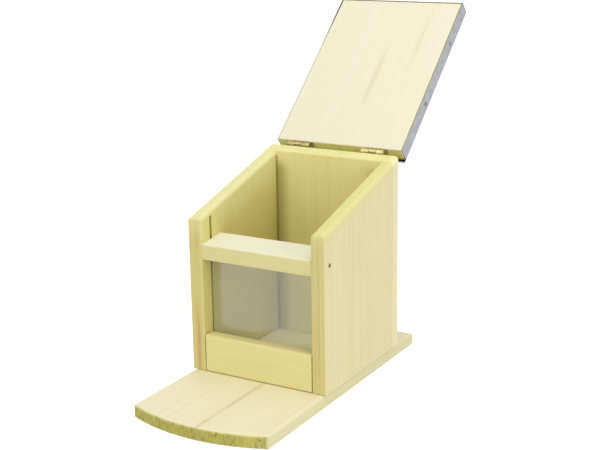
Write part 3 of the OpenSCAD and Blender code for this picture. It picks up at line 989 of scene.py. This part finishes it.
@dataclass(frozen=True)
class Copies:
    """Copies of one shape that together stand for a CAD node."""

    node: str
    body: str
    slot: str
    places: tuple[Matrix, ...]

    def make(self, shape: bmesh.types.BMesh, material: bpy.types.Material) -> bpy.types.Object:
        """Make the piece, and free the shape.

        Args:
            shape: Shape to copy, in millimetres, with its outer end towards +Z.
            material: Finish of the piece.

        Returns:
            The piece, which rides on its body and replaces the node.
        """
        single = bpy.data.meshes.new("single_shape")
        shape.to_mesh(single)
        shape.free()
        whole = bmesh.new()
        for place in self.places:
            start = len(whole.verts)
            whole.from_mesh(single)
            whole.verts.ensure_lookup_table()
            bmesh.ops.transform(whole, matrix=Matrix.Scale(MM, 4) @ place, verts=whole.verts[start:])
        for face in whole.faces:
            face.smooth = True
        mesh = bpy.data.meshes.new(f"shaped_{self.node}")
        whole.to_mesh(mesh)
        whole.free()
        bpy.data.meshes.remove(single)
        mesh.set_sharp_from_angle(angle=math.radians(SHARP_ANGLE))
        mesh.materials.append(material)
        piece = bpy.data.objects.new(f"shaped_{self.node}", mesh)
        bpy.context.scene.collection.objects.link(piece)
        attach(piece, self.body)
        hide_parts(self.node)
        return piece


def aimed(place: Triple, outward: Triple, roll: float = 0.0) -> Matrix:
    """Frame at a place, with Z outwards.

    Args:
        place: Where it stands, in millimetres.
        outward: Direction that the outer end looks in.
        roll: Turn about that direction, in degrees.

    Returns:
        The frame.
    """
    facing = Vector(outward).to_track_quat("Z", "Y").to_matrix().to_4x4()
    return Matrix.Translation(place) @ facing @ Matrix.Rotation(math.radians(roll), 4, "Z")


@dataclass
class Housing:
    """The fixed box: base board, panels, front board, rail and pane. Lengths are millimetres.

    Each layer of painted shade in an inner corner has a half-width, a strength and a length to fade over.
    """

    front_h: float = 135.0
    pane_play: float = 0.3
    groove_stop: float = 4.0
    groove_spare: float = 0.1
    corner_skin: float = 0.5
    # Layers and colour of the painted shade in the inner corners.
    corner_shades: tuple[Triple, ...] = ((3.4, 0.6, 0.1), (18.0, 0.58, 14.0))
    corner_tone: Colour = srgb(120, 104, 30)
    soak_depth: float = 14.0
    soak_strength: float = 0.65
    rear_soak_depth: float = 40.0
    rear_soak_strength: float = 0.75
    front_soak_less: float = 14.0
    moss: Colour = srgb(222, 219, 146)
    pale_end: Colour = srgb(236, 233, 162)
    soft_end: Colour = srgb(222, 217, 138)
    pane: PaneFinish = PaneFinish()

    def slope_z(self, y: float) -> float:
        """Height of the side panels' top edge at a place along Y."""
        low = span_of("left_side_panel")[0]
        return low.z + self.front_h + (y - low.y) * ROOF_CLIMB

    def wall_x(self) -> float:
        """Distance of the side panels' inner faces from the middle."""
        return span_of("front_rail")[1].x

    def pane_groove(self) -> Recess:
        """Painted shade inside the groove that holds the pane, from where the pane stands.

        Returns:
            The groove, with a little to spare on each side.
        """
        low, high = span_of("window_pane")
        reach = self.pane_play + self.groove_spare
        return Recess(
            middle=(low.y + high.y) / 2,
            half_width=(high.y - low.y) / 2 + reach,
            mouth=self.wall_x() + 2 * self.groove_spare,
            floor=high.x + reach,
            top=self.slope_z(low.y) - self.groove_stop + 2 * self.groove_spare,
        )

    def corners(self) -> tuple[Recess, ...]:
        """Painted shade in the inner corners where the side panels meet the back panel.

        Returns:
            The layers of painted shade of both corners.
        """
        seat = span_of("back_panel")[0].y
        shared = {"mouth": seat - self.corner_skin, "floor": seat + self.corner_skin, "core": 0.0,
                  "top": self.slope_z(seat) - self.groove_stop, "shade": self.corner_tone}
        return tuple(Recess(side * self.wall_x(), half, strength=strength, fade=fade, **shared)
                     for side in SIDES for half, strength, fade in self.corner_shades)

    def base(self) -> PineFinish:
        """Finish of the base board, with the joints of its strips and a front end that soaked up glaze.

        Returns:
            The finish.
        """
        return PineFinish(
            "base_pine", BoardFrame.BASE, pith=(20.0, 70.0), ring=3.4, early=srgb(243, 238, 204),
            late=srgb(233, 222, 176), contrast=0.28, blush=0.2, glaze_share=0.85,
            edge_tint=(0.87, 0.885, 0.78, 1.0),
            glaze=srgb(221, 214, 148), end=srgb(194, 187, 92), end_dark=srgb(138, 127, 48),
            joints=(Seam(middle=6.0, half_width=3.0, strength=0.42),
                    Seam(middle=-35.5, half_width=2.2, strength=0.14)),
        )

    def side(self, name: str, joints: tuple[float, ...], **own: object) -> PineFinish:
        """Finish of one side panel, with hairline joints and painted shade in its groove.

        Args:
            name: Name of the material.
            joints: Middle of each glue joint.
            **own: What else differs from panel to panel.

        Returns:
            The finish.
        """
        hairlines = tuple(Seam(middle=middle, half_width=0.5, strength=0.12) for middle in joints)
        return PineFinish(
            name, BoardFrame.SIDE, early=srgb(232, 225, 177), late=srgb(220, 208, 152), contrast=0.28,
            blush=0.8, end_dark=self.soft_end, joints=hairlines, recesses=(self.pane_groove(),), **own)

    def left_side(self) -> PineFinish:
        """Finish of the left side panel, where the glaze has soaked in deeper towards the rear.

        Returns:
            The finish.
        """
        front, rear = (corner.y for corner in span_of("left_side_panel"))
        less = self.front_soak_less / (rear - front)
        edge = -middle_of("left_side_panel").x
        return self.side(
            "left_side_pine", joints=(-4.0, 52.0), pith=(-20.0, 140.0), ring=3.0, inner=Inner.MINUS,
            end=srgb(238, 235, 178), glaze=srgb(232, 229, 166),
            streaks=(
                Streak(edge - 0.6, middle=34.0, half_length=50.0, width=3.4, strength=0.75,
                       through=True),
                Streak(edge - 1.6, middle=126.0, half_length=16.0, width=2.4, strength=0.28,
                       through=True),
            ),
            soak=Soak(self.slope_z(0.0) + less * rear, ROOF_CLIMB - less, self.rear_soak_depth,
                      self.rear_soak_strength),
        )

    def right_side(self) -> PineFinish:
        """Finish of the right side panel, with streaks on its outer face and its front edge.

        Returns:
            The finish.
        """
        edge = -middle_of("right_side_panel").x
        return self.side(
            "right_side_pine", joints=(12.0, 41.0), pith=(10.0, -150.0), ring=3.2, inner=Inner.PLUS,
            end=self.pale_end, glaze=self.moss, edge_tint=(0.92, 0.865, 0.64, 1.0),
            streaks=(
                Streak(26.0, middle=122.0, half_length=34.0, width=3.0, strength=0.14),
                Streak(29.0, middle=27.0, half_length=24.0, width=1.6, strength=0.22, lean=0.5),
                Streak(edge - 0.6, middle=74.0, half_length=110.0, width=1.3, strength=0.34,
                       through=True),
                Streak(edge + 2.6, middle=50.0, half_length=60.0, width=1.6, strength=0.22,
                       through=True),
            ),
            soak=Soak(self.slope_z(0.0), ROOF_CLIMB, self.soak_depth, self.soak_strength),
        )

    def back(self) -> PineFinish:
        """Finish of the back panel, with painted shade in its corners inside the hopper.

        Returns:
            The finish.
        """
        return PineFinish(
            "back_pine", BoardFrame.UPRIGHT, pith=(30.0, 30.0), ring=3.6, early=srgb(246, 239, 198),
            late=srgb(236, 224, 176), inner=Inner.MINUS, inner_shade_tint=(0.98, 0.95, 0.63, 1.0),
            edge_tint=(0.95, 0.95, 0.92, 1.0), end=self.pale_end, end_dark=self.soft_end,
            recesses=self.corners())

    def front_board(self) -> PineFinish:
        """Finish of the low board at the foot of the window.

        Returns:
            The finish.
        """
        return PineFinish(
            "front_board_pine", BoardFrame.FRONT, pith=(90.0, -60.0), ring=2.2, early=srgb(239, 229, 166),
            late=srgb(227, 212, 140), edge_tint=(1.0, 0.99, 0.95, 1.0))

    def rail(self) -> PineFinish:
        """Finish of the rail over the window.

        Returns:
            The finish.
        """
        return PineFinish(
            "rail_pine", BoardFrame.RAIL, pith=(-210.0, -10.0), ring=2.6, early=srgb(241, 241, 217),
            late=srgb(230, 227, 190), contrast=0.25, edge_tint=(0.93, 0.86, 0.56, 1.0),
            glaze=self.moss, glaze_share=0.6,
            end=srgb(232, 228, 176), end_dark=srgb(214, 206, 146))

    def dress(self, effects: Effects) -> Pieces:
        """Finish the wooden pieces and the pane.

        Args:
            effects: The shared node groups.

        Returns:
            The finished pieces.
        """
        finishes = {
            "base_board": self.base(), "left_side_panel": self.left_side(),
            "right_side_panel": self.right_side(), "back_panel": self.back(),
            "front_board": self.front_board(), "front_rail": self.rail(),
        }
        boards = [paint(node, finish.make(effects)) for node, finish in finishes.items()]
        return [*boards, paint("window_pane", self.pane.make())]


@dataclass
class Lid:
    """The hinged lid: its board and the folded sheet over it."""

    board: PineFinish = PineFinish(
        "lid_pine", BoardFrame.LID, pith=(60.0, -160.0), ring=3.2, early=srgb(240, 236, 212),
        late=srgb(228, 220, 182), contrast=0.11, end=srgb(218, 213, 126), end_dark=srgb(168, 160, 80),
        relief=0.12, resin=srgb(200, 168, 84),
        streaks=(
            Streak(across=7.0, middle=288.0, half_length=50.0, width=4.4, strength=0.31),
            Streak(across=37.0, middle=336.0, half_length=46.0, width=3.8, strength=0.19),
        ),
    )

    def board_end(self) -> float:
        """Work out where the board's rear end lies along the lid's grain.

        Returns:
            Its place in the lid's own frame, in millimetres.
        """
        y, z = hinge_line()
        turn = BoardFrame.LID.turn()[0]
        return y * math.sin(turn) + z * math.cos(turn) + HINGE_SET

    def dress(self, effects: Effects) -> Pieces:
        """Finish the lid's board and its sheet.

        Args:
            effects: The shared node groups.

        Returns:
            The finished pieces.
        """
        board = paint("lid_board", self.board.make(effects))
        zinc = ZincFinish(self.board_end(), span_of("lid_board")[0].x)
        return [board, paint("lid_cover", zinc.make(effects))]


@dataclass
class Fittings:
    """Hinges, screws and nails. Lengths are millimetres, and rolls are degrees."""

    axis_up: float = 0.3
    rest_gap: float = 0.7
    hinge_x: float = 37.5
    hinge_w: float = 22.0
    pin_r: float = 0.8
    pin_ease: float = 0.25
    bright_w: float = 1.2
    leaf_t: float = 0.8
    screw_z: float = 5.9
    screw_x: float = 6.5
    screw_r: float = 1.1
    screw_head_r: float = 2.2
    screw_head_h: float = 1.43
    screw_len: float = 10.0
    screw_seat: float = 0.05
    dome_steps: int = 8
    screw_slot: DriveSlot = DriveSlot(half_width=0.28, half_length=3.0, above=0.5, floor=0.62)
    fixed_rolls: tuple[float, float] = (20.0, 65.0)
    lid_rolls: tuple[float, float] = (-30.0, 10.0)
    nail_r: float = 0.9
    nail_head_r: float = 2.0
    nail_head_h: float = 0.8
    nail_head_ease: float = 0.12
    nail_shoulder: float = 0.14
    nail_edge_drop: float = 0.32
    nail_crown: float = 0.03
    nail_crown_r: float = 1.2
    nail_sink: float = 1.4
    nail_len: float = 30.0
    cover_nail_len: float = 12.0
    cover_nail_z: float = 8.5
    cover_nail_y: tuple[float, float] = (59.5, 131.5)
    cover_nail_x: float = 35.0
    lid_len: float = 174.0
    flange_t: float = 1.1
    play: float = 0.05
    base_screw_r: float = 1.5
    base_head_r: float = 3.0
    base_head_ease: float = 0.1
    base_head_flat: float = 0.25
    base_screw_len: float = 30.0
    base_screw_sink: float = 0.4
    base_slot_half: tuple[float, float] = (0.4, 1.5)
    base_slot_depth: float = 1.1
    base_first_roll: float = 20.0
    base_roll_step: float = 13.0
    side_screw_in: float = 28.0
    front_screw_x: float = 30.0
    back_screw_x: float = 38.0
    steel: MetalFinish = MetalFinish("nail_steel", srgb(175, 175, 171), srgb(134, 134, 130),
                                     srgb(104, 100, 90), smooth=0.36, grime_share=0.5)
    # Finish of the rail's nails, aged and darkened by painted shade.
    aged: MetalFinish = MetalFinish("shaded_aged_nail", srgb(150, 130, 88), srgb(114, 96, 60),
                                    srgb(72, 58, 34), smooth=0.5, grime_share=0.8)

    @property
    def lid_drop(self) -> float:
        """Height of the lid's underside above the hinge line, in the lid's own frame."""
        slope = math.radians(ROOF_SLOPE)
        return self.rest_gap + HINGE_SET * math.sin(slope) - self.axis_up * math.cos(slope)

    @property
    def lid_frame(self) -> Matrix:
        """Frame on the hinge line that is turned with the open lid."""
        return Matrix.Translation((0.0, *hinge_line())) @ Matrix.Rotation(-math.radians(LID_OPEN), 4, "X")

    def brass(self, side: str) -> HingeFinish:
        """Finish of one hinge: the left one is painted darker than the right one, as painted shade.

        Args:
            side: Name of the side.

        Returns:
            The finish.
        """
        # The left hinge's brass is a darker copy of the right one's: painted shade.
        bright, dull, tarnish = {
            "left": (srgb(209, 187, 128), srgb(177, 155, 98), srgb(84, 74, 34)),
            "right": (srgb(232, 217, 156), srgb(206, 187, 125), srgb(128, 118, 58)),
        }[side]
        return HingeFinish(
            f"brass_{side}", bright, dull, srgb(110, 88, 48), smooth=0.26, grime_share=0.45,
            line=hinge_line(), bright_r=self.pin_r + self.bright_w, tarnish=tarnish)

    @staticmethod
    def shank(radius: float, tip: float) -> list[tuple[float, float]]:
        """Profile of a nail's or screw's blunt point, from the axis out to the shank."""
        return [(0.0, tip), (radius / 4, tip), (radius, tip + 2 * radius)]

    def hinge_screw(self) -> bmesh.types.BMesh:
        """Round-headed screw with a slot, seated at Z = 0.

        Returns:
            The shape.
        """
        r, seat = self.screw_r, self.screw_seat
        head_r, head_h, rim = self.screw_head_r, self.screw_head_h, 2 * seat
        rise = math.pi / 2 / self.dome_steps
        angles = [step * rise for step in range(self.dome_steps)]
        dome = [(head_r * math.cos(angle), rim + head_h * math.sin(angle)) for angle in angles]
        shape = turned([*self.shank(r, -self.screw_len), (r, seat), (head_r - rim, seat), *dome,
                        (0.0, rim + head_h)])
        self.screw_slot.sink(shape)
        return shape

    def nail(self, length: float, stand: float) -> bmesh.types.BMesh:
        """Wire nail with a chamfered, slightly domed head.

        Args:
            length: Length from the top of the head to the point.
            stand: Height of the head's top above the wood.

        Returns:
            The shape.
        """
        head, height, ease = self.nail_head_r, self.nail_head_h, self.nail_head_ease
        profile = [*self.shank(self.nail_r, -length), (self.nail_r, -height), (head - ease, -height),
                   (head, ease - height), (head, -self.nail_edge_drop),
                   (head - self.nail_shoulder, -self.nail_shoulder),
                   (self.nail_crown_r, -self.nail_crown), (0.0, 0.0)]
        return turned((radius, level + stand) for radius, level in profile)

    def base_screw(self) -> bmesh.types.BMesh:
        """Countersunk screw with a cross recess, sunk a little below Z = 0.

        Returns:
            The shape.
        """
        r, head, ease = self.base_screw_r, self.base_head_r, self.base_head_ease
        top = -self.base_screw_sink
        profile = [*self.shank(r, top - self.base_screw_len), (r, top - head + r),
                   (head - ease, top - ease), (head - self.base_head_flat, top), (0.0, top)]
        shape = turned(profile, WIDE_STEPS)
        floor = top - self.base_slot_depth
        DriveSlot(*self.base_slot_half, above=top - ease / 2, floor=floor, crossed=True).sink(shape)
        return shape

    def pin(self) -> bmesh.types.BMesh:
        """Hinge pin with chamfered ends, along Z.

        Returns:
            The shape.
        """
        r, half, ease = self.pin_r, self.hinge_w / 2, self.pin_ease
        lower = [(0.0, -half), (r - ease, -half), (r, ease - half)]
        return turned([*lower, *((radius, -level) for radius, level in reversed(lower))])

    def hang_hinges(self, effects: Effects) -> Pieces:
        """Finish the leaves, and shape the pins and the slotted screws.

        Args:
            effects: The shared node groups.

        Returns:
            The finished pieces.
        """
        y, z = hinge_line()
        seat = HINGE_SET - self.leaf_t
        pieces = []
        for side, sign in zip(("left", "right"), SIDES):
            brass = self.brass(side).make(effects)
            hinge = f"{side}_hinge"
            pieces += [paint(f"{hinge}_{leaf}", brass) for leaf in ("fixed_leaf", "lid_leaf")]
            middle = sign * self.hinge_x
            spots = [middle + end * self.screw_x for end in SIDES]
            fixed = tuple(aimed((x, y - seat, z - self.screw_z), (0, 1, 0), roll)
                          for x, roll in zip(spots, self.fixed_rolls))
            swung = tuple(self.lid_frame @ aimed((x, -seat, self.screw_z), (0, 1, 0), roll)
                          for x, roll in zip(spots, self.lid_rolls))
            along = (aimed((middle, y, z), (1, 0, 0)),)
            pin = Copies(f"{hinge}_pin", "housing", "brass", along)
            fixed_screws = Copies(f"{hinge}_fixed_screws", "housing", "brass", fixed)
            lid_screws = Copies(f"{hinge}_lid_screws", "lid", "brass", swung)
            pieces.append(pin.make(self.pin(), brass))
            pieces += [screws.make(self.hinge_screw(), brass) for screws in (fixed_screws, lid_screws)]
        return pieces

    def drive_nails(self, steel: bpy.types.Material, aged: bpy.types.Material) -> Pieces:
        """Shape the nails of the rail, the back panel and the sheet cover.

        Args:
            steel: Finish of the cover's and the back panel's nails.
            aged: Finish of the rail's nails, aged and darkened by painted shade.

        Returns:
            The finished pieces.
        """
        stand, box = self.nail_head_h - self.nail_sink, span_of("back_panel")[1]
        rail = middle_of("rail_nails")
        places = tuple(aimed((side * box.x, rail.y, rail.z), (side, 0, 0)) for side in SIDES)
        nail = self.nail(self.nail_len, stand)
        pieces = [Copies("rail_nails", "housing", "nail_steel", places).make(nail, aged)]

        low, high = span_of("back_panel_nails")
        x = high.x - self.nail_head_r
        levels = (low.z + self.nail_head_r, (low.z + high.z) / 2, high.z - self.nail_head_r)
        places = tuple(aimed((side * x, box.y, level), (0, 1, 0)) for side in SIDES for level in levels)
        nail = self.nail(self.nail_len, stand)
        pieces.append(Copies("back_panel_nails", "housing", "nail_steel", places).make(nail, steel))

        x, level = span_of("lid_cover")[1].x, self.lid_drop + self.cover_nail_z
        front = -HINGE_SET - self.lid_len - self.flange_t
        spots = [((side * x, -HINGE_SET - y, level), (side, 0, 0))
                 for side in SIDES for y in self.cover_nail_y]
        spots += [((side * self.cover_nail_x, front, level), (0, -1, 0)) for side in SIDES]
        places = tuple(self.lid_frame @ aimed(place, outward) for place, outward in spots)
        nail = self.nail(self.cover_nail_len, self.nail_head_h + self.play)
        return [*pieces, Copies("lid_cover_nails", "lid", "nail_steel", places).make(nail, steel)]

    def drive_base_screws(self, steel: bpy.types.Material) -> bpy.types.Object:
        """Shape the screws that come up through the base board.

        Args:
            steel: Finish of the screws.

        Returns:
            The finished piece.
        """
        low, high = span_of("right_side_panel")
        x = (low.x + high.x) / 2
        spots = [(x, low.y + self.side_screw_in), (x, high.y - self.side_screw_in),
                 (self.front_screw_x, middle_of("front_board").y),
                 (self.back_screw_x, middle_of("back_panel").y)]
        first, step = self.base_first_roll, self.base_roll_step
        places = tuple(aimed((side * across, along, 0.0), (0, 0, -1), first + step * along)
                       for side in SIDES for across, along in spots)
        return Copies("base_screws", "housing", "nail_steel", places).make(self.base_screw(), steel)

    def dress(self, effects: Effects) -> Pieces:
        """Finish every metal fitting and shape the screws, pins and nails.

        Args:
            effects: The shared node groups.

        Returns:
            The finished pieces.
        """
        steel = self.steel.make(effects)
        hinges = self.hang_hinges(effects)
        nails = self.drive_nails(steel, self.aged.make(effects))
        return [*hinges, *nails, self.drive_base_screws(steel)]


@dataclass(frozen=True)
class Softbox:
    """One large soft lamp. Lengths are metres, and the power is in watts."""

    name: str
    place: Triple
    aim: Triple
    size: float
    power: float

    def hang(self) -> None:
        """Put the lamp in the scene."""
        lamp = bpy.data.lights.new(self.name, "AREA")
        lamp.shape = "DISK"
        lamp.size = self.size
        lamp.energy = self.power
        holder = bpy.data.objects.new(self.name, lamp)
        holder.location = self.place
        beam = Vector(self.aim) - Vector(self.place)
        holder.rotation_euler = beam.to_track_quat("-Z", "Y").to_euler()
        bpy.context.scene.collection.objects.link(holder)


@dataclass(frozen=True)
class Viewpoint:
    """The photograph's camera. Lengths are metres, the sensor's millimetres, and angles degrees."""

    azimuth: float = 30.38
    elevation: float = 15.11
    roll: float = -0.90
    distance: float = 1.04195
    focal_px: float = 1219.38
    image_px: int = 600
    target: Triple = (0.0053, 0.0310, 0.13284)
    sensor: float = 36.0
    nearest: float = 0.01

    def set_up(self) -> None:
        """Make the camera and hand it to the scene."""
        azimuth, elevation = math.radians(self.azimuth), math.radians(self.elevation)
        back = Vector((math.sin(azimuth) * math.cos(elevation), -math.cos(azimuth) * math.cos(elevation),
                       math.sin(elevation)))
        right = Vector((math.cos(azimuth), math.sin(azimuth), 0.0))
        turn = Matrix((right, back.cross(right), back)).transposed().to_4x4()
        camera = bpy.data.cameras.new("photo_camera")
        camera.sensor_width = self.sensor
        camera.lens = self.focal_px / self.image_px * self.sensor
        camera.clip_start = self.nearest
        holder = bpy.data.objects.new("photo_camera", camera)
        place = Matrix.Translation(Vector(self.target) + back * self.distance)
        holder.matrix_world = place @ turn @ Matrix.Rotation(math.radians(self.roll), 4, "Z")
        bpy.context.scene.collection.objects.link(holder)
        bpy.context.scene.camera = holder


@dataclass
class Studio:
    """Pale floor, soft lamps, white surroundings and the camera. Lengths are metres."""

    floor_half: float = 4.0
    floor_albedo: float = 0.80
    floor_roughness: float = 0.9
    floor_lift: float = 0.66
    sky_level: float = 0.552
    viewpoint: Viewpoint = Viewpoint()
    lamps: tuple[Softbox, ...] = (
        Softbox("top_softbox", place=(0.35, -0.10, 2.20), aim=(0.0, 0.0, 0.10), size=1.6, power=18.5),
        Softbox("right_softbox", place=(1.6, -0.5, 0.6), aim=(0.0, 0.0, 0.12), size=1.0, power=7.5),
        Softbox("front_softbox", place=(-0.5, -1.8, 0.35), aim=(0.0, 0.0, 0.12), size=1.2, power=5.8),
    )

    @staticmethod
    def seen(graph: Graph) -> Socket:
        """Mask of the rays that look straight at a surface, or by way of metal or glass.

        Args:
            graph: Graph of the material or the world.

        Returns:
            1 for such rays, else 0.
        """
        path = graph.add("ShaderNodeLightPath").outputs
        mirrored = graph.math("MAXIMUM", path["Is Glossy Ray"], path["Is Transmission Ray"])
        return graph.math("MAXIMUM", path["Is Camera Ray"], mirrored)

    def lay_floor(self) -> None:
        """Lay the pale floor that keeps the object's shadow."""
        mesh = bpy.data.meshes.new("floor")
        shape = bmesh.new()
        bmesh.ops.create_grid(shape, x_segments=1, y_segments=1, size=self.floor_half)
        shape.to_mesh(mesh)
        shape.free()
        floor = bpy.data.objects.new("floor", mesh)
        bpy.context.scene.collection.objects.link(floor)
        surface = Surface("floor_white")
        surface.fill(surface.shader, {
            "Base Color": (self.floor_albedo, self.floor_albedo, self.floor_albedo, 1.0),
            "Roughness": self.floor_roughness,
            "Specular IOR Level": 0.0,
            "Emission Color": WHITE,
            "Emission Strength": surface.times(self.seen(surface), self.floor_lift),
        })
        mesh.materials.append(surface.material)

    def set_world(self) -> None:
        """Surround the object with even light that looks white."""
        world = bpy.data.worlds.new("white_surroundings")
        world.use_nodes = True
        world.node_tree.nodes.clear()
        graph = Graph(world.node_tree)
        strength = graph.span(self.seen(graph), self.sky_level, 1.0)
        sky = graph.add("ShaderNodeBackground", {"Color": WHITE, "Strength": strength})
        graph.add("ShaderNodeOutputWorld", {"Surface": sky.outputs[0]})
        bpy.context.scene.world = world

    def set_up(self) -> None:
        """Make the floor, the light and the camera."""
        self.lay_floor()
        self.set_world()
        for lamp in self.lamps:
            lamp.hang()
        self.viewpoint.set_up()
        bpy.context.scene.view_settings.view_transform = "Standard"


def main() -> None:
    """Dress the feeding station and report its pieces, then light it and set the camera."""
    logging.basicConfig(level=logging.INFO, format="%(message)s")
    effects = Effects.make()
    for assembly in (Housing(), Lid(), Fittings()):
        for piece in assembly.dress(effects):
            LOG.info("%s wears %s", piece.name, piece.data.materials[0].name)
    Studio().set_up()


if __name__ == "__main__":
    main()
